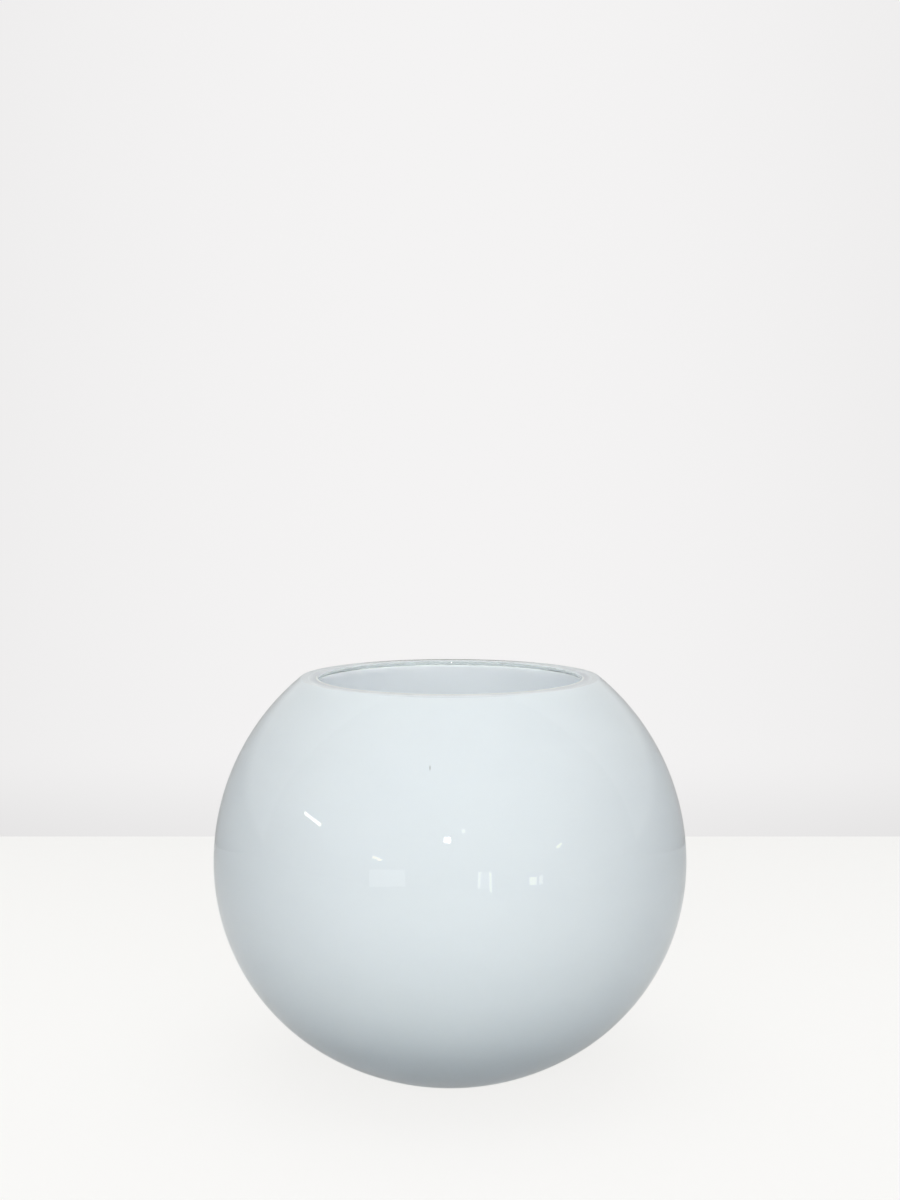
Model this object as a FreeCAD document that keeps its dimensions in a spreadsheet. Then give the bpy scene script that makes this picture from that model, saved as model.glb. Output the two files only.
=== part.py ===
import FreeCAD, Part

import math
import os

import Sketcher
from FreeCAD import Vector

# A globe vase of cased glass: a thin opal layer inside a thick clear one, in millimetres.
# The frame has its origin at the middle of the ground base, and +Z up the axis of the vase.
# Each layer is a half outline in the XZ plane, turned about Z as the blown gather is.

SIZES = {
    # The gather as blown: its widest radius, and its depth below that widest circle.
    "belly_radius": 100.0,
    "under_depth": 94.1,
    # How deep the bottom is ground flat, and the outer radius at which the top is cut level.
    "base_grinding": 6.3,
    "lip_radius": 63.1,
    # Both layers together, at the side and at the bottom.
    "wall": 5.6,
    "floor_thickness": 11.0,
    # The opal layer, and how far below the softened lip it stops.
    "opal_thickness": 2.0,
    "opal_setback": 0.4,
    # The radii to which the ground edges are softened.
    "lip_softening": 0.8,
    "base_softening": 2.0,
}

# The nested round forms share the middle of the belly. Each has a radius and a depth below it.
BELLY_HEIGHT = "(Sizes.under_depth - Sizes.base_grinding)"
OUTSIDE = ("Sizes.belly_radius", "Sizes.under_depth")
INSIDE = (
    "(Sizes.belly_radius - Sizes.wall)",
    f"({BELLY_HEIGHT} - Sizes.floor_thickness)",
)
SEAM = (
    f"({INSIDE[0]} + Sizes.opal_thickness)",
    f"({INSIDE[1]} + Sizes.opal_thickness)",
)

# The level cut at the lip, and the level edge of the opal below the lip's softened edges.
LIP_HEIGHT = f"({BELLY_HEIGHT} + sqrt(Sizes.belly_radius ^ 2 - Sizes.lip_radius ^ 2))"
OPAL_HEIGHT = f"({LIP_HEIGHT} - 2 * Sizes.lip_softening - Sizes.opal_setback)"

# The sketcher's numbers for the points of an edge, and for a sketch's origin and upright axis.
START, END, CENTRE = range(1, 4)
ORIGIN, Z_AXIS = range(-1, -3, -1)
TOP = math.pi / 2


def sheet_of_sizes(doc):
    """A sheet with one row for each size: its name, and its value under that alias."""
    sheet = doc.addObject("Spreadsheet::Sheet", "Sizes")
    for row, (name, value) in enumerate(SIZES.items(), 1):
        sheet.set(f"A{row}", name)
        sheet.set(f"B{row}", str(value))
        sheet.setAlias(f"B{row}", name)
    doc.recompute()


def layer_with_outline(doc, label):
    """An empty body, and a sketch on its own XZ plane, where the sketch's Y is the body's Z."""
    body = doc.addObject("PartDesign::Body", label)
    body.Label = label
    plane = next(part for part in body.Origin.OriginFeatures if part.Role == "XZ_Plane")
    sketch = body.newObject("Sketcher::SketchObject", f"{label}_outline")
    sketch.AttachmentSupport = [(plane, "")]
    sketch.MapMode = "FlatFace"
    return body, sketch


def bind(sketch, name, expression, kind, *where):
    """Add a constraint whose value comes from the sheet."""
    value = sketch.evalExpression(expression)
    index = sketch.addConstraint(Sketcher.Constraint(kind, *where, float(value)))
    sketch.renameConstraint(index, name)
    sketch.setExpression(f"Constraints.{name}", expression)


def tie(sketch, kind, *where):
    """Add a constraint with no value, such as ends that meet or arcs that run on smoothly."""
    sketch.addConstraint(Sketcher.Constraint(kind, *where))


def line(sketch, start, end):
    """A straight edge between two points."""
    return sketch.addGeometry(Part.LineSegment(start, end))


def arc(sketch, centre, radius, start, end):
    """An arc drawn anticlockwise from the angle start to the angle end."""
    circle = Part.Circle(centre, Vector(0, 0, 1), radius)
    return sketch.addGeometry(Part.ArcOfCircle(circle, start, end))


def crown(sketch, name, form, top):
    """The round upper half of a form, from the belly up to the level top."""
    radius = float(sketch.evalExpression(form[0]))
    middle = Vector(0, float(sketch.evalExpression(BELLY_HEIGHT)))
    edge = arc(sketch, middle, radius, 0, math.asin((top - middle.y) / radius))
    bind(sketch, f"{name}_radius", form[0], "Radius", edge)
    bind(sketch, f"{name}_middle", BELLY_HEIGHT, "DistanceY", edge, CENTRE)
    tie(sketch, "PointOnObject", edge, CENTRE, Z_AXIS)
    tie(sketch, "Horizontal", edge, CENTRE, edge, START)
    return edge


def underside(sketch, name, form, crown_edge, foot):
    """The flatter lower half of a form, as two arcs that run on from the crown's foot.

    The bottom arc has the radius at which an ellipse of the form's radius and depth turns at
    its lowest point. The heel's radius is the one that then meets both it and the crown
    smoothly. The bottom arc starts at the angle foot from straight down."""
    radius_of_bottom = f"{form[0]} ^ 2 / {form[1]}"
    radius_of_heel = f"{form[1]} * ({form[0]} + {form[1]}) / (2 * {form[0]})"
    radius, depth, bottom, heel, height = (
        float(sketch.evalExpression(size))
        for size in (*form, radius_of_bottom, radius_of_heel, BELLY_HEIGHT)
    )
    bottom_middle = Vector(0, height + bottom - depth)
    heel_middle = Vector(radius - heel, height)
    meeting = math.atan2(depth * (2 * radius + depth), 2 * radius * (radius + depth))
    bottom_edge = arc(sketch, bottom_middle, bottom, foot - TOP, meeting - TOP)
    heel_edge = arc(sketch, heel_middle, heel, meeting - TOP, 0)
    bind(sketch, f"{name}_bottom", radius_of_bottom, "Radius", bottom_edge)
    bind(sketch, f"{name}_heel", radius_of_heel, "Radius", heel_edge)
    tie(sketch, "PointOnObject", bottom_edge, CENTRE, Z_AXIS)
    tie(sketch, "Tangent", bottom_edge, END, heel_edge, START)
    tie(sketch, "Tangent", heel_edge, END, crown_edge, START)
    return bottom_edge


def opal_edge(sketch):
    """The level top edge of the opal, from its inner face to its outer one."""
    inner, outer, height, middle = (
        float(sketch.evalExpression(size))
        for size in (INSIDE[0], SEAM[0], OPAL_HEIGHT, BELLY_HEIGHT)
    )
    rise = height - middle
    start = Vector(math.sqrt(inner ** 2 - rise ** 2), height)
    end = Vector(math.sqrt(outer ** 2 - rise ** 2), height)
    edge = line(sketch, start, end)
    bind(sketch, "opal_height", OPAL_HEIGHT, "DistanceY", edge, START)
    tie(sketch, "Horizontal", edge)
    return edge


def turned(body, sketch):
    """The outline turned once round the axis."""
    feature = body.newObject("PartDesign::Revolution", f"{body.Label}_turned")
    feature.Profile = sketch
    feature.ReferenceAxis = (sketch, ["V_Axis"])
    feature.Angle = 360
    sketch.Visibility = False


def clear_casing(doc):
    """The clear layer: ground base, round outside, softened lip, and the bed of the opal."""
    body, sketch = layer_with_outline(doc, "clear_casing")
    outer, inner, opal_top, lip_top, middle, lip_soft, base_soft, bottom, depth = (
        float(sketch.evalExpression(size))
        for size in (
            OUTSIDE[0], INSIDE[0], OPAL_HEIGHT, LIP_HEIGHT, BELLY_HEIGHT,
            "Sizes.lip_softening", "Sizes.base_softening",
            f"{OUTSIDE[0]} ^ 2 / {OUTSIDE[1]}", OUTSIDE[1],
        )
    )
    # Middles of the three small arcs, each its own radius in from the faces that it joins.
    soft_rise = lip_top - lip_soft - middle
    outer_soft = Vector(math.sqrt((outer - lip_soft) ** 2 - soft_rise ** 2), middle + soft_rise)
    inner_soft = Vector(math.sqrt((inner + lip_soft) ** 2 - soft_rise ** 2), middle + soft_rise)
    drop = middle + bottom - depth - base_soft
    foot_soft = Vector(math.sqrt((bottom - base_soft) ** 2 - drop ** 2), base_soft)
    foot = math.atan2(foot_soft.x, drop)
    outer_lean = math.atan2(soft_rise, outer_soft.x)
    inner_lean = math.atan2(soft_rise, inner_soft.x)

    # Outside, from the base to the lip.
    base = line(sketch, Vector(0, 0), Vector(foot_soft.x, 0))
    base_edge = arc(sketch, foot_soft, base_soft, -TOP, foot - TOP)
    round_top = crown(sketch, "outside", OUTSIDE, middle + outer * math.sin(outer_lean))
    round_bottom = underside(sketch, "outside", OUTSIDE, round_top, foot)
    outer_edge = arc(sketch, outer_soft, lip_soft, outer_lean, TOP)
    lip = line(sketch, Vector(outer_soft.x, lip_top), Vector(inner_soft.x, lip_top))
    inner_edge = arc(sketch, inner_soft, lip_soft, TOP, math.pi + inner_lean)
    # Inside, from the lip past the opal's edge and along the bed to the axis.
    mouth_start = math.asin((opal_top - middle) / inner)
    mouth = arc(sketch, Vector(0, middle), inner, mouth_start, inner_lean)
    step = opal_edge(sketch)
    bed_top = crown(sketch, "bed", SEAM, opal_top)
    bed_bottom = underside(sketch, "bed", SEAM, bed_top, 0)
    bed_low = middle - float(sketch.evalExpression(SEAM[1]))
    axis = line(sketch, Vector(0, bed_low), Vector(0, 0))

    tie(sketch, "Coincident", base, START, ORIGIN, START)
    tie(sketch, "Horizontal", base)
    tie(sketch, "Tangent", base, END, base_edge, START)
    tie(sketch, "Tangent", base_edge, END, round_bottom, START)
    tie(sketch, "Tangent", round_top, END, outer_edge, START)
    tie(sketch, "Tangent", outer_edge, END, lip, START)
    tie(sketch, "Horizontal", lip)
    tie(sketch, "Tangent", lip, END, inner_edge, START)
    tie(sketch, "Tangent", inner_edge, END, mouth, END)
    tie(sketch, "Coincident", mouth, CENTRE, round_top, CENTRE)
    tie(sketch, "Coincident", mouth, START, step, START)
    tie(sketch, "Coincident", step, END, bed_top, END)
    tie(sketch, "Coincident", bed_bottom, START, axis, START)
    tie(sketch, "PointOnObject", axis, START, Z_AXIS)
    tie(sketch, "Coincident", axis, END, base, START)
    bind(sketch, "lip_height", LIP_HEIGHT, "DistanceY", lip, START)
    bind(sketch, "mouth_radius", INSIDE[0], "Radius", mouth)
    bind(sketch, "outer_edge", "Sizes.lip_softening", "Radius", outer_edge)
    bind(sketch, "inner_edge", "Sizes.lip_softening", "Radius", inner_edge)
    bind(sketch, "base_edge", "Sizes.base_softening", "Radius", base_edge)
    turned(body, sketch)
    return body


def opal_lining(doc):
    """The opal layer: an even skin on the bed, whose inner face is the inside of the vase."""
    body, sketch = layer_with_outline(doc, "opal_lining")
    middle, opal_top, floor, bed = (
        float(sketch.evalExpression(size))
        for size in (
            BELLY_HEIGHT, OPAL_HEIGHT,
            f"{BELLY_HEIGHT} - {INSIDE[1]}", f"{BELLY_HEIGHT} - {SEAM[1]}",
        )
    )
    inner_top = crown(sketch, "inside", INSIDE, opal_top)
    inner_bottom = underside(sketch, "inside", INSIDE, inner_top, 0)
    outer_top = crown(sketch, "bed", SEAM, opal_top)
    outer_bottom = underside(sketch, "bed", SEAM, outer_top, 0)
    edge = opal_edge(sketch)
    axis = line(sketch, Vector(0, bed), Vector(0, floor))

    tie(sketch, "Coincident", inner_top, END, edge, START)
    tie(sketch, "Coincident", outer_top, END, edge, END)
    tie(sketch, "Coincident", axis, START, outer_bottom, START)
    tie(sketch, "Coincident", axis, END, inner_bottom, START)
    tie(sketch, "PointOnObject", axis, START, Z_AXIS)
    tie(sketch, "PointOnObject", axis, END, Z_AXIS)
    turned(body, sketch)
    return body


doc = FreeCAD.newDocument("globe_vase")
sheet_of_sizes(doc)
layers = [clear_casing(doc), opal_lining(doc)]
doc.recompute()

faults = [thing.Label for thing in doc.Objects if {"Invalid", "Error"} & set(thing.State)]
if faults:
    raise RuntimeError(f"failed: {faults}")
for layer in layers:
    shape = layer.Shape
    if shape.isNull() or not shape.isValid() or len(shape.Solids) != 1:
        raise RuntimeError(f"{layer.Label} isn't one valid solid")

os.makedirs("parts", exist_ok=True)
for layer in layers:
    layer.Placement = FreeCAD.Placement()
    layer.Shape.exportStep(f"parts/{layer.Label}.step")
    box = layer.Shape.BoundBox
    print(f"{layer.Label}: {layer.Shape.Volume:.0f} mm3, z {box.ZMin:.2f} to {box.ZMax:.2f}")
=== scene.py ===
import math

import bpy
import numpy as np
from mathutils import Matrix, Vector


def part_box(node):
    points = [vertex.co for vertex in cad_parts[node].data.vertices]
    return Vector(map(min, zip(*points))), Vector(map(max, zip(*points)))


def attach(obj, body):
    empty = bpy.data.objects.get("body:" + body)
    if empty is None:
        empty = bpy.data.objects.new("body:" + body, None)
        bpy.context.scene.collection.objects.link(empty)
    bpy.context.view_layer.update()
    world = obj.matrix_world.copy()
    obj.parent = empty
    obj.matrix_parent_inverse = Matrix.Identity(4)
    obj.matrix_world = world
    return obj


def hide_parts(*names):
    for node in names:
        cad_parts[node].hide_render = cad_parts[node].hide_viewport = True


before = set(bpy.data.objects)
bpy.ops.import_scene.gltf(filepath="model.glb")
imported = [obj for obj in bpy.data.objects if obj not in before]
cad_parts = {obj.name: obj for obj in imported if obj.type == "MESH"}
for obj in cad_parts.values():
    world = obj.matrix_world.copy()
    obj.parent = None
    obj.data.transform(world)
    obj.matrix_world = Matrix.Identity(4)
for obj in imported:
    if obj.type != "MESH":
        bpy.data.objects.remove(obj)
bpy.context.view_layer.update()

# The clear casing: the thick outer layer of colourless soda glass, gathered over the opal and blown
# into a round mould. The top is cut level at the lip, ground, and softened by fire on both edges,
# and the bottom is ground flat, so that the vase stands on it.
casing_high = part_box("clear_casing")[1]
belly_radius = casing_high.x
lip_height = casing_high.z
lip_radius = 0.0631
base_grinding = 0.0063
wall = 0.0056
floor_thickness = 0.011
opal_thickness = 0.002
opal_setback = 0.0004
lip_softening = 0.0008
base_softening = 0.002
columns = 256
belly_height = lip_height - math.sqrt(belly_radius**2 - lip_radius**2)
under_depth = belly_height + base_grinding
opal_height = lip_height - 2 * lip_softening - opal_setback


def arc(middle, radius, start, end, count):
    """Points on a circle arc. Each is the middle, plus the radius times the cosine across and the
    sine up of an angle that runs evenly from start to end."""
    angle = np.linspace(start, end, count)
    return np.column_stack([middle[0] + radius * np.cos(angle), middle[1] + radius * np.sin(angle)])


def globe(radius, depth, top, foot=0.0, rows=(20, 56, 64)):
    """The outline of a blown globe of this radius and this depth below the belly, from the angle
    foot at its bottom up to the height top. Above the belly it is a sphere, and below it is
    flatter, as hot glass sags, in two arcs that run on smoothly.

    The bottom arc's radius is the globe's radius squared over its depth. The heel's is the depth
    times the sum of radius and depth, over twice the radius. They meet at the angle whose tangent
    is the depth times the sum of the depth and twice the radius, over twice the radius times the
    sum of radius and depth."""
    bottom = radius**2 / depth
    heel = depth * (radius + depth) / (2 * radius)
    meeting = math.atan2(depth * (2 * radius + depth), 2 * radius * (radius + depth))
    crown_end = math.asin((top - belly_height) / radius)
    down = -math.pi / 2
    parts = [
        arc((0, belly_height + bottom - depth), bottom, down + foot, down + meeting, rows[0]),
        arc((radius - heel, belly_height), heel, down + meeting, 0, rows[1])[1:],
        arc((0, belly_height), radius, 0, crown_end, rows[2])[1:],
    ]
    return np.vstack(parts)


def turned(name, outline, around=columns):
    """A mesh turned from an outline of (distance from the axis, height) points, the first and
    last of which are on the axis.

    A point of the mesh is (distance times the cosine of an angle, distance times the sine of it,
    height), for around angles that share out one turn. The outline runs with the solid on its
    left, so the faces point outwards, and each end is closed by a fan on one shared point. Corners
    of the outline over 35 degrees stay sharp."""
    ring = outline[1:-1]
    rows = len(ring)
    angle = np.linspace(0, 2 * np.pi, around, endpoint=False)
    points = np.empty((rows, around, 3))
    points[..., 0] = ring[:, :1] * np.cos(angle)
    points[..., 1] = ring[:, :1] * np.sin(angle)
    points[..., 2] = ring[:, 1:]
    ends = np.array([[0, 0, outline[0, 1]], [0, 0, outline[-1, 1]]])
    points = np.vstack([points.reshape(-1, 3), ends])
    number = np.arange(rows * around).reshape(rows, around)
    beside = np.roll(number, -1, axis=1)
    quads = np.stack([number[:-1], beside[:-1], beside[1:], number[1:]], axis=-1).reshape(-1, 4)
    first = np.stack([beside[0], number[0], np.full(around, rows * around)], axis=-1)
    last = np.stack([number[-1], beside[-1], np.full(around, rows * around + 1)], axis=-1)
    mesh = bpy.data.meshes.new(name)
    mesh.from_pydata(points.tolist(), [], quads.tolist() + first.tolist() + last.tolist())
    mesh.polygons.foreach_set("use_smooth", np.ones(len(mesh.polygons), bool))
    mesh.set_sharp_from_angle(angle=math.radians(35))
    piece = bpy.data.objects.new(name, mesh)
    bpy.context.collection.objects.link(piece)
    return piece


soft_rise = lip_height - lip_softening - belly_height
outer_soft = math.sqrt((belly_radius - lip_softening) ** 2 - soft_rise**2)
inner_radius = belly_radius - wall
inner_depth = belly_height - floor_thickness
inner_soft = math.sqrt((inner_radius + lip_softening) ** 2 - soft_rise**2)
bottom_radius = belly_radius**2 / under_depth
foot_drop = belly_height + bottom_radius - under_depth - base_softening
foot_out = math.sqrt((bottom_radius - base_softening) ** 2 - foot_drop**2)
foot_angle = math.atan2(foot_out, foot_drop)
outer_lean = math.atan2(soft_rise, outer_soft)
inner_lean = math.atan2(soft_rise, inner_soft)
# The opal stands this much into the clear glass, so that light meets it with no air between.
bond = 0.0001
bed = globe(
    inner_radius + opal_thickness - bond,
    inner_depth + opal_thickness - bond,
    opal_height - bond,
    rows=(12, 24, 32),
)
crown_top = belly_height + belly_radius * math.sin(outer_lean)
mouth_low = math.asin((opal_height - bond - belly_height) / inner_radius)
soft_height = lip_height - lip_softening
casing_outline = np.vstack(
    [
        [[0, 0], [foot_out * 0.5, 0], [foot_out * 0.9, 0]],
        arc((foot_out, base_softening), base_softening, -math.pi / 2, foot_angle - math.pi / 2, 7),
        globe(belly_radius, under_depth, crown_top, foot_angle)[1:],
        arc((outer_soft, soft_height), lip_softening, outer_lean, math.pi / 2, 9)[1:],
        [[(outer_soft + inner_soft) / 2, lip_height]],
        arc((inner_soft, soft_height), lip_softening, math.pi / 2, math.pi + inner_lean, 17),
        arc((0, belly_height), inner_radius, inner_lean, mouth_low, 5)[1:],
        bed[::-1],
    ]
)
casing = turned("clear_glass_casing", casing_outline)


def nodes_of(holder):
    """The empty node tree of a material or a world."""
    holder.use_nodes = True
    holder.node_tree.nodes.clear()
    return holder.node_tree


def add(tree, kind, **settings):
    """A node of a kind, with its settings and sockets. A key that is a setting of the node goes
    to the node, and any other is a socket's name, or n and its number. A socket given as the
    value is joined to it."""
    node = tree.nodes.new(kind)
    for key, value in settings.items():
        if hasattr(node, key):
            setattr(node, key, value)
            continue
        place = int(key[1:]) if key[0] == "n" and key[1:].isdigit() else key.replace("_", " ")
        if isinstance(value, bpy.types.NodeSocket):
            tree.links.new(value, node.inputs[place])
        else:
            node.inputs[place].default_value = value
    return node


def math_of(tree, operation, first, second=0.0, **settings):
    """The result of a Math node on one or two values."""
    made = add(tree, "ShaderNodeMath", operation=operation, n0=first, n1=second, **settings)
    return made.outputs[0]


def group(name, inputs, outputs):
    """An empty node group with float inputs of these values, and these outputs."""
    tree = bpy.data.node_groups.new(name, "ShaderNodeTree")
    for key, value in inputs.items():
        socket = tree.interface.new_socket(key, in_out="INPUT", socket_type="NodeSocketFloat")
        socket.default_value = value
    for key in outputs:
        tree.interface.new_socket(key, in_out="OUTPUT", socket_type="NodeSocketFloat")
    return tree, tree.nodes.new("NodeGroupInput").outputs, tree.nodes.new("NodeGroupOutput").inputs


# Blown ripple: the slow, shallow unevenness that the mould and the blowing leave in a wall of
# glass. Its height comes from two sizes of noise over the piece.
ripple, given, result = group("blown ripple", {"Size": 30.0, "Fine share": 0.2}, ["Height"])
place = add(ripple, "ShaderNodeTexCoord").outputs["Object"]
slow = add(ripple, "ShaderNodeTexNoise", Vector=place, Scale=given["Size"], Detail=1.0)
finer_size = math_of(ripple, "MULTIPLY", given["Size"], 4.0)
fine = add(ripple, "ShaderNodeTexNoise", Vector=place, Scale=finer_size, Detail=1.0)
fine_part = math_of(ripple, "MULTIPLY", fine.outputs["Fac"], given["Fine share"])
total = math_of(ripple, "ADD", slow.outputs["Fac"], fine_part)
ripple.links.new(total, result["Height"])

# Ground face: the mask is 1 on a face that is ground level at a height, and fades out within a
# depth of it. Inside the mask the fine even grain of the grinding comes out as a second value.
ground, given, result = group("ground face", {"Level": 0.0, "Depth": 0.0002}, ["Mask", "Grain"])
place = add(ground, "ShaderNodeTexCoord").outputs["Object"]
height = add(ground, "ShaderNodeSeparateXYZ", Vector=place).outputs["Z"]
apart = math_of(ground, "ABSOLUTE", math_of(ground, "SUBTRACT", height, given["Level"]))
share = math_of(ground, "DIVIDE", apart, given["Depth"])
mask = math_of(ground, "SUBTRACT", 1.0, share, use_clamp=True)
grain = add(ground, "ShaderNodeTexNoise", Vector=place, Scale=2600.0, Detail=3.0)
grained = math_of(ground, "MULTIPLY", mask, grain.outputs["Fac"])
ground.links.new(mask, result["Mask"])
ground.links.new(grained, result["Grain"])

clear = bpy.data.materials.new("clear soda glass")
tree = nodes_of(clear)
lip_face = add(tree, "ShaderNodeGroup", node_tree=ground, Level=lip_height, Depth=0.0004)
base_face = add(tree, "ShaderNodeGroup", node_tree=ground, Level=0.0, Depth=0.0006)
satin = math_of(tree, "MULTIPLY", lip_face.outputs["Mask"], 0.08)
matt = math_of(tree, "MULTIPLY", base_face.outputs["Grain"], 0.75)
# A trace of wiping, which dulls the shine here and there.
place = add(tree, "ShaderNodeTexCoord").outputs["Object"]
stretched = add(tree, "ShaderNodeMapping", Vector=place, Scale=(1.0, 1.0, 3.2))
wiped = add(tree, "ShaderNodeTexNoise", Vector=stretched.outputs[0], Scale=14.0, Detail=4.0)
trace = add(
    tree,
    "ShaderNodeMapRange",
    Value=wiped.outputs["Fac"],
    From_Min=0.52,
    From_Max=0.75,
    To_Min=0.0,
    To_Max=0.03,
)
roughness = math_of(tree, "ADD", math_of(tree, "ADD", satin, matt), trace.outputs["Result"])
# The ripple dies away towards the lip, which the grinding and the fire have evened.
ripples = add(tree, "ShaderNodeGroup", node_tree=ripple, Size=20.0, Fine_share=0.02)
height = add(tree, "ShaderNodeSeparateXYZ", Vector=place).outputs["Z"]
ripple_end, ripple_fade = 0.003, 0.009
unground = add(
    tree,
    "ShaderNodeMapRange",
    Value=height,
    From_Min=lip_height - ripple_end - ripple_fade,
    From_Max=lip_height - ripple_end,
    To_Min=1.0,
    To_Max=0.0,
)
blown = math_of(tree, "MULTIPLY", ripples.outputs["Height"], unground.outputs["Result"])
wave = add(tree, "ShaderNodeBump", Strength=1.0, Distance=0.000025, Height=blown)
ground_bump = add(
    tree,
    "ShaderNodeBump",
    Strength=0.6,
    Distance=0.00004,
    Height=base_face.outputs["Grain"],
    Normal=wave.outputs["Normal"],
)
glass = add(
    tree,
    "ShaderNodeBsdfPrincipled",
    Base_Color=(0.965, 0.985, 0.978, 1),
    Roughness=roughness,
    IOR=1.5,
    Transmission_Weight=1.0,
    Normal=ground_bump.outputs["Normal"],
)
# On the free inner wall above the opal, the last of the opal thins out to a milky skin, which
# shows from within the glass, through the lip.
from_belly = add(
    tree, "ShaderNodeVectorMath", operation="DISTANCE", n0=place, n1=(0, 0, belly_height)
)
on_wall = add(
    tree,
    "ShaderNodeMapRange",
    Value=from_belly.outputs["Value"],
    From_Min=inner_radius + lip_softening / 2,
    From_Max=inner_radius + 2 * lip_softening,
    To_Min=0.9,
    To_Max=0.0,
)
above_opal = add(
    tree,
    "ShaderNodeMapRange",
    Value=height,
    From_Min=opal_height - 2 * opal_setback,
    From_Max=opal_height - opal_setback / 2,
)
within = add(tree, "ShaderNodeNewGeometry").outputs["Backfacing"]
milky = math_of(tree, "MULTIPLY", on_wall.outputs["Result"], above_opal.outputs["Result"])
milky_within = math_of(tree, "MULTIPLY", milky, within)
skin = add(tree, "ShaderNodeBsdfDiffuse", Color=(0.965, 0.985, 0.978, 1)).outputs[0]
lip_glass = add(tree, "ShaderNodeMixShader", Fac=milky_within, n1=glass.outputs[0], n2=skin)
# Lamps and bounced light reach the opal straight through the casing.
rays = add(tree, "ShaderNodeLightPath").outputs
through = add(tree, "ShaderNodeBsdfTransparent", Color=(0.94, 0.96, 0.95, 1)).outputs[0]
bounced = add(
    tree, "ShaderNodeMixShader", Fac=rays["Is Diffuse Ray"], n1=lip_glass.outputs[0], n2=through
)
lamps = add(
    tree, "ShaderNodeMixShader", Fac=rays["Is Shadow Ray"], n1=bounced.outputs[0], n2=through
)
# The thick glass dims what is seen through it lengthwise, along the edges and in the lip.
depth = add(tree, "ShaderNodeVolumeAbsorption", Color=(0.42, 0.5, 0.5, 1), Density=17.0)
add(tree, "ShaderNodeOutputMaterial", Surface=lamps.outputs[0], Volume=depth.outputs[0])
casing.data.materials.append(clear)
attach(casing, "root")
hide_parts("clear_casing")

# The opal lining: a thin layer of pale blue-white opal glass, gathered first and cased over while
# hot. Its inner face, smooth from the fire, is the inside of the vase, and its outer face is fused
# to the casing. It stops a little below the softened lip.
edge_round = 0.00012
inner_face = globe(inner_radius, inner_depth, opal_height - edge_round)
outer_face = globe(
    inner_radius + opal_thickness, inner_depth + opal_thickness, opal_height - edge_round
)
edge_in, edge_out = inner_face[-1, 0], outer_face[-1, 0]
lining_outline = np.vstack(
    [
        outer_face,
        [[edge_out - edge_round, opal_height]],
        [[edge_in + edge_round, opal_height]],
        inner_face[::-1],
    ]
)
lining = turned("opal_glass_lining", lining_outline)
# 1 on the face that is fused to the casing, and 0 on the free face inside.
fused_rows = np.concatenate([np.ones(len(outer_face) - 1), np.zeros(len(inner_face) + 1)])
fused = np.concatenate([np.repeat(fused_rows, columns), [1.0, 0.0]])
lining.data.attributes.new("fused", "FLOAT", "POINT").data.foreach_set("value", fused)

opal = bpy.data.materials.new("opal glass")
tree = nodes_of(opal)
place = add(tree, "ShaderNodeTexCoord").outputs["Object"]
height = add(tree, "ShaderNodeSeparateXYZ", Vector=place).outputs["Z"]
# The body colour is a little darker and bluer towards the bottom.
rise = add(tree, "ShaderNodeMapRange", Value=height, From_Min=0.02, From_Max=lip_height)
body_colour = add(tree, "ShaderNodeValToRGB", Fac=rise.outputs["Result"])
body_colour.color_ramp.elements[0].color = (0.775, 0.84, 0.965, 1)
body_colour.color_ramp.elements[1].color = (0.818, 0.87, 0.948, 1)
# The melt's faint clouds, drawn out round the vase by the turning of the pipe.
drawn = add(tree, "ShaderNodeMapping", Vector=place, Scale=(1.0, 1.0, 2.6))
cloud = add(
    tree, "ShaderNodeTexNoise", Vector=drawn.outputs[0], Scale=15.0, Detail=4.0, Distortion=0.4
)
milky = add(
    tree,
    "ShaderNodeMapRange",
    Value=cloud.outputs["Fac"],
    From_Min=0.3,
    From_Max=0.7,
    To_Min=0.985,
    To_Max=1.01,
)
# One speck of ash in the opal, below the mouth at the front.
speck_place = (-0.0074, -0.0805, 0.1403)
from_speck = add(
    tree, "ShaderNodeVectorMath", operation="SUBTRACT", n0=place, n1=speck_place
)
squeezed = add(
    tree,
    "ShaderNodeVectorMath",
    operation="MULTIPLY",
    n0=from_speck.outputs["Vector"],
    n1=(1.5, 0.3, 0.4),
)
off_speck = add(tree, "ShaderNodeVectorMath", operation="LENGTH", n0=squeezed.outputs["Vector"])
unspecked = add(
    tree,
    "ShaderNodeMapRange",
    Value=off_speck.outputs["Value"],
    From_Min=0.0001,
    From_Max=0.0005,
    To_Min=0.5,
    To_Max=1.0,
)
shade = math_of(tree, "MULTIPLY", milky.outputs["Result"], unspecked.outputs["Result"])
colour = add(
    tree, "ShaderNodeVectorMath", operation="SCALE", n0=body_colour.outputs["Color"], Scale=shade
)
fused_part = add(tree, "ShaderNodeAttribute", attribute_name="fused").outputs["Fac"]
smooth = add(tree, "ShaderNodeMapRange", Value=fused_part, To_Min=0.07, To_Max=0.95)
ripples = add(tree, "ShaderNodeGroup", node_tree=ripple, Size=30.0, Fine_share=0.2)
wave = add(
    tree, "ShaderNodeBump", Strength=1.0, Distance=0.00003, Height=ripples.outputs["Height"]
)
body = add(
    tree,
    "ShaderNodeBsdfPrincipled",
    Base_Color=colour.outputs["Vector"],
    Roughness=smooth.outputs["Result"],
    IOR=1.5,
    Subsurface_Weight=1.0,
    Subsurface_Radius=(1.0, 1.0, 1.0),
    Subsurface_Scale=0.013,
    Normal=wave.outputs["Normal"],
)
add(tree, "ShaderNodeOutputMaterial", Surface=body.outputs[0])
lining.data.materials.append(opal)
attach(lining, "root")
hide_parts("opal_lining")

# The table: a plain pale top, painted matt, which ends where the wall begins. It takes the soft
# shadow of the vase from the lamps. Its glow has painted light, a little paler in front. The glass
# mirrors it dimmer, a painted reflection that is dimmest away from the vase.
far_edge = 0.425


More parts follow.
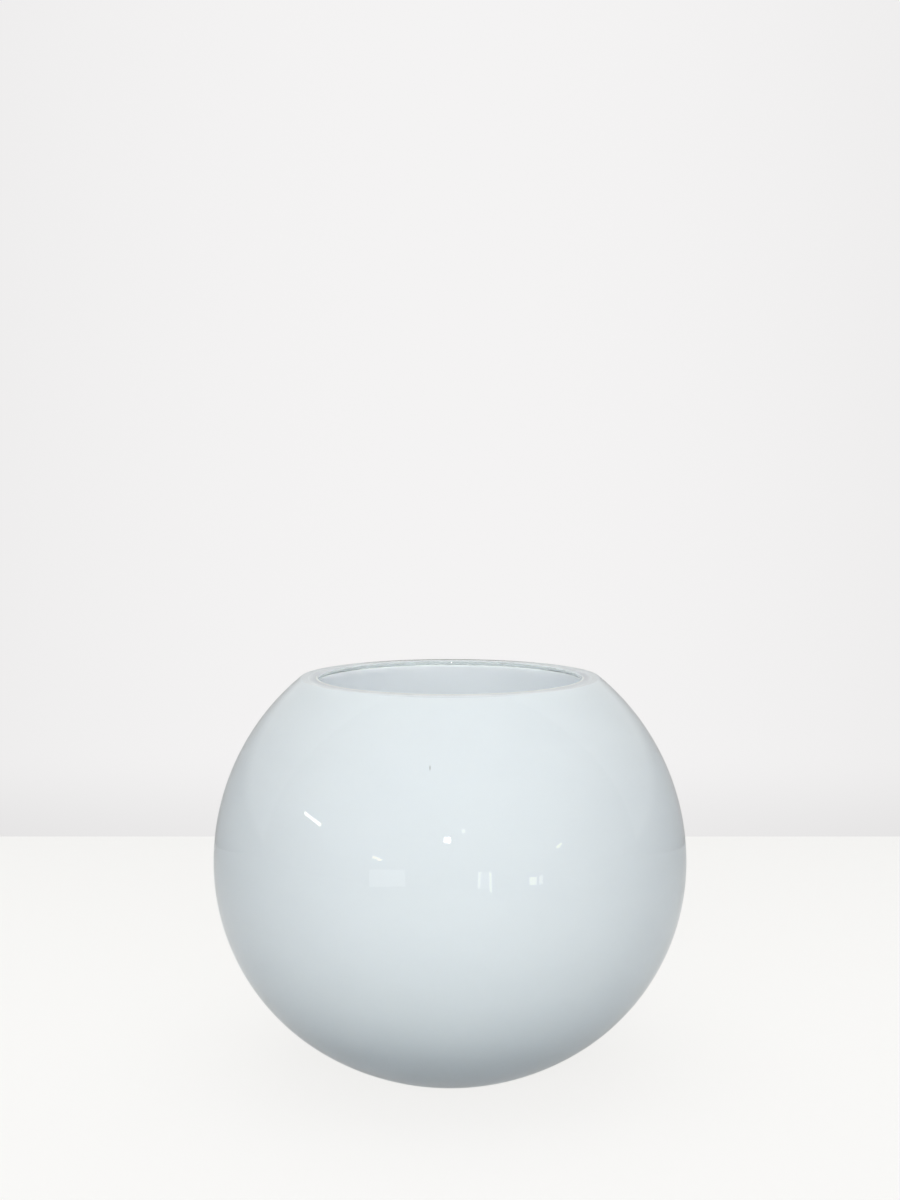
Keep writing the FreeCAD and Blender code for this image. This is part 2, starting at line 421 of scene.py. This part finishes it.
def sheet(name, corners):
    """A flat rectangle through four corners, as part of the stage."""
    mesh = bpy.data.meshes.new(name)
    mesh.from_pydata(corners, [], [(0, 1, 2, 3)])
    piece = bpy.data.objects.new(name, mesh)
    bpy.context.collection.objects.link(piece)
    return piece


def background_rays(tree):
    """1 for the rays that show the background, which are those of the camera, of mirrored light
    and of light through glass, and then the kinds of ray one by one."""
    rays = add(tree, "ShaderNodeLightPath").outputs
    seen = math_of(tree, "MAXIMUM", rays["Is Camera Ray"], rays["Is Transmission Ray"])
    return math_of(tree, "MAXIMUM", seen, rays["Is Glossy Ray"]), rays


table = sheet("table", [(-3, -3, 0), (3, -3, 0), (3, far_edge, 0), (-3, far_edge, 0)])
pale = bpy.data.materials.new("pale table")
tree = nodes_of(pale)
seen, rays = background_rays(tree)
place = add(tree, "ShaderNodeTexCoord").outputs["Object"]
away = add(tree, "ShaderNodeSeparateXYZ", Vector=place).outputs["Y"]
# Painted light: the glow is a little paler in front and drops off towards the wall.
painted_table_falloff = add(
    tree,
    "ShaderNodeMapRange",
    Value=away,
    From_Min=0.1,
    From_Max=far_edge,
    To_Min=0.83,
    To_Max=0.81,
)
in_glass = add(tree, "ShaderNodeMapRange", Value=rays["Is Glossy Ray"], To_Min=0.41, To_Max=0.37)
in_lens = add(
    tree,
    "ShaderNodeMapRange",
    Value=rays["Is Camera Ray"],
    To_Min=in_glass.outputs["Result"],
    To_Max=0.1,
)
paint = add(tree, "ShaderNodeBsdfDiffuse", Color=in_lens.outputs["Result"])
from_vase = add(tree, "ShaderNodeVectorMath", operation="LENGTH", n0=place).outputs["Value"]
# Painted reflection: seen in the glass, the glow drops to 0.36 of its level near the vase and 0.2
# further out.
painted_table_reflection = add(
    tree,
    "ShaderNodeMapRange",
    Value=from_vase,
    From_Min=0.25,
    From_Max=0.5,
    To_Min=0.36,
    To_Max=0.2,
)
mirrored = add(
    tree,
    "ShaderNodeMapRange",
    Value=rays["Is Glossy Ray"],
    To_Min=1.0,
    To_Max=painted_table_reflection.outputs["Result"],
)
level = math_of(tree, "MULTIPLY", painted_table_falloff.outputs["Result"], mirrored.outputs["Result"])
glow = add(tree, "ShaderNodeEmission", Color=(1.0, 0.992, 0.975, 1), Strength=level)
both = add(tree, "ShaderNodeAddShader", n0=paint.outputs[0], n1=glow.outputs[0])
shown = add(tree, "ShaderNodeMixShader", Fac=seen, n1=paint.outputs[0], n2=both.outputs[0])
add(tree, "ShaderNodeOutputMaterial", Surface=shown.outputs[0])
table.data.materials.append(pale)

# The wall behind the table: plain and pale. Its glow has painted light and shade: brightest in the
# middle, a little darker at the sides, and painted shade towards the table. In the glass its foot
# is dim, and it brightens with height, a painted reflection.
foot_line = [(-3, far_edge, 0), (3, far_edge, 0)]
wall_sheet = sheet("wall", foot_line + [(3, far_edge, 3), (-3, far_edge, 3)])
chalk = bpy.data.materials.new("pale wall")
tree = nodes_of(chalk)
seen, rays = background_rays(tree)
place = add(tree, "ShaderNodeTexCoord").outputs["Object"]
split = add(tree, "ShaderNodeSeparateXYZ", Vector=place)
# Painted light and shade: the glow is brightest in the middle and darker towards the sides.
side = math_of(tree, "MULTIPLY", split.outputs["X"], split.outputs["X"])
sides = math_of(tree, "SUBTRACT", 1.0, math_of(tree, "MULTIPLY", side, 0.5))
# Painted shade on the glow at the foot of the wall, by the table.
foot = add(
    tree,
    "ShaderNodeMapRange",
    interpolation_type="SMOOTHSTEP",
    Value=split.outputs["Z"],
    From_Min=-0.01,
    From_Max=0.06,
    To_Min=0.83,
    To_Max=0.905,
)
level = math_of(tree, "MULTIPLY", math_of(tree, "MAXIMUM", sides, 0.9), foot.outputs["Result"])
# Painted reflection: in the glass the wall's glow is about half up to 0.18 m, and rises to 0.88 by
# 0.26 m.
painted_wall_reflection = add(
    tree,
    "ShaderNodeMapRange",
    Value=split.outputs["Z"],
    From_Min=0.18,
    From_Max=0.26,
    To_Min=0.52,
    To_Max=0.88,
)
mirrored = add(
    tree,
    "ShaderNodeMapRange",
    Value=rays["Is Glossy Ray"],
    To_Min=1.0,
    To_Max=painted_wall_reflection.outputs["Result"],
)
level = math_of(tree, "MULTIPLY", level, mirrored.outputs["Result"])
paint = add(tree, "ShaderNodeBsdfDiffuse", Color=(0.5, 0.5, 0.5, 1))
glow = add(tree, "ShaderNodeEmission", Color=(1.0, 0.99, 0.99, 1), Strength=level)
shown = add(tree, "ShaderNodeMixShader", Fac=seen, n1=paint.outputs[0], n2=glow.outputs[0])
behind = add(tree, "ShaderNodeNewGeometry").outputs["Backfacing"]
open_back = add(tree, "ShaderNodeBsdfTransparent")
one_sided = add(
    tree, "ShaderNodeMixShader", Fac=behind, n1=shown.outputs[0], n2=open_back.outputs[0]
)
add(tree, "ShaderNodeOutputMaterial", Surface=one_sided.outputs[0])
wall_sheet.data.materials.append(chalk)

# The light: two broad soft lamps, one low in front and one over the mouth, a smaller one over the
# back, which shines through the opal, and a little light from all round. The lamp on the camera,
# and the windows and lamps of the room behind it, show only as small glints in the clear glass.
belly = np.array([0, 0, belly_height])


def lamp(name, start, end, width, radiance):
    """A rectangular lamp that faces the belly of the vase. It reaches from start to end, is width
    wide, and is as bright as radiance. Its power is pi times its area times that."""
    start, end = np.array(start, float), np.array(end, float)
    middle = (start + end) / 2
    away = (middle - belly) / np.linalg.norm(middle - belly)
    along = end - start
    length = np.linalg.norm(along)
    along = along - away * np.dot(along, away)
    along = along / np.linalg.norm(along)
    across = np.cross(away, along)
    data = bpy.data.lights.new(name, "AREA")
    data.shape = "RECTANGLE"
    data.size, data.size_y = length, width
    data.energy = math.pi * length * width * radiance
    piece = bpy.data.objects.new(name, data)
    turned_to = np.eye(4)
    turned_to[:3, 0], turned_to[:3, 1], turned_to[:3, 2] = along, across, away
    turned_to[:3, 3] = middle
    piece.matrix_world = turned_to.T.tolist()
    bpy.context.collection.objects.link(piece)
    piece.visible_camera = False
    piece.visible_transmission = False
    return piece


low_lamp = lamp("low soft lamp", (-1.3, -1.188, 0.46), (1.3, -1.188, 0.46), 0.7, 3.62)
top_lamp = lamp("top soft lamp", (-0.65, -0.021, 1.288), (0.65, -0.021, 1.288), 1.1, 1.93)
back_lamp = lamp("back soft lamp", (-0.35, 0.38, 0.6), (0.35, 0.38, 0.6), 0.2, 1.9)
# The light that the opal lets through to the inside is a little green.
back_lamp.data.color = (0.85, 1.0, 0.88)
for soft in (low_lamp, top_lamp, back_lamp):
    soft.visible_glossy = False
glints = {
    "flash": ((-0.033, -0.75, 0.366), (0.003, -0.75, 0.366), 0.03, 50.0),
    "strip lamp": ((-1.446, -0.352, 0.612), (-1.367, -0.631, 0.576), 0.03, 12.0),
    "short strip lamp": ((-0.909, -1.276, 0.386), (-0.811, -1.347, 0.361), 0.03, 6.0),
    "left blind": ((-0.941, -1.286, 0.141), (-0.541, -1.5, 0.183), 0.2, 0.9),
    "window edge left": ((0.359, -1.548, 0.266), (0.344, -1.561, 0.074), 0.035, 2.6),
    "window edge right": ((0.484, -1.514, 0.259), (0.491, -1.519, 0.019), 0.035, 2.8),
    "window": ((0.36, -1.55, 0.16), (0.48, -1.52, 0.15), 0.2, 0.6),
    "right pane": ((0.924, -1.299, 0.109), (1.0, -1.239, 0.097), 0.09, 3.4),
    "right pane beside": ((1.026, -1.218, 0.105), (1.06, -1.187, 0.099), 0.1, 2.2),
    "corner lamp": ((1.194, -0.995, 0.422), (1.241, -0.925, 0.455), 0.03, 3.5),
    "far lamp": ((0.141, -1.449, 0.75), (0.183, -1.444, 0.749), 0.05, 2.6),
}
for name, (start, end, width, radiance) in glints.items():
    light = lamp(name, start, end, width, radiance)
    light.visible_diffuse = False

world = bpy.data.worlds.new("room")
bpy.context.scene.world = world
tree = nodes_of(world)
seen = background_rays(tree)[0]
dim = add(tree, "ShaderNodeBackground", Color=(1, 1, 1, 1), Strength=0.42)
white = add(tree, "ShaderNodeBackground", Color=(1, 0.99, 0.99, 1), Strength=0.5)
room = add(tree, "ShaderNodeMixShader", Fac=seen, n1=dim.outputs[0], n2=white.outputs[0])
add(tree, "ShaderNodeOutputWorld", Surface=room.outputs[0])

# The camera: at the angle and the distance that the photograph was taken from, a little above
# the lip and 0.7 m from the belly.
camera_data = bpy.data.cameras.new("camera")
camera_data.lens = 48.52
camera = bpy.data.objects.new("camera", camera_data)
camera_rise = math.radians(13.47)
camera_away = 0.7
camera_tip = math.radians(4.463)
camera.location = belly + camera_away * np.array([0, -math.cos(camera_rise), math.sin(camera_rise)])
camera.rotation_euler = (math.pi / 2 - camera_tip, 0, 0)
bpy.context.collection.objects.link(camera)
bpy.context.scene.camera = camera
bpy.context.scene.view_settings.view_transform = "Standard"
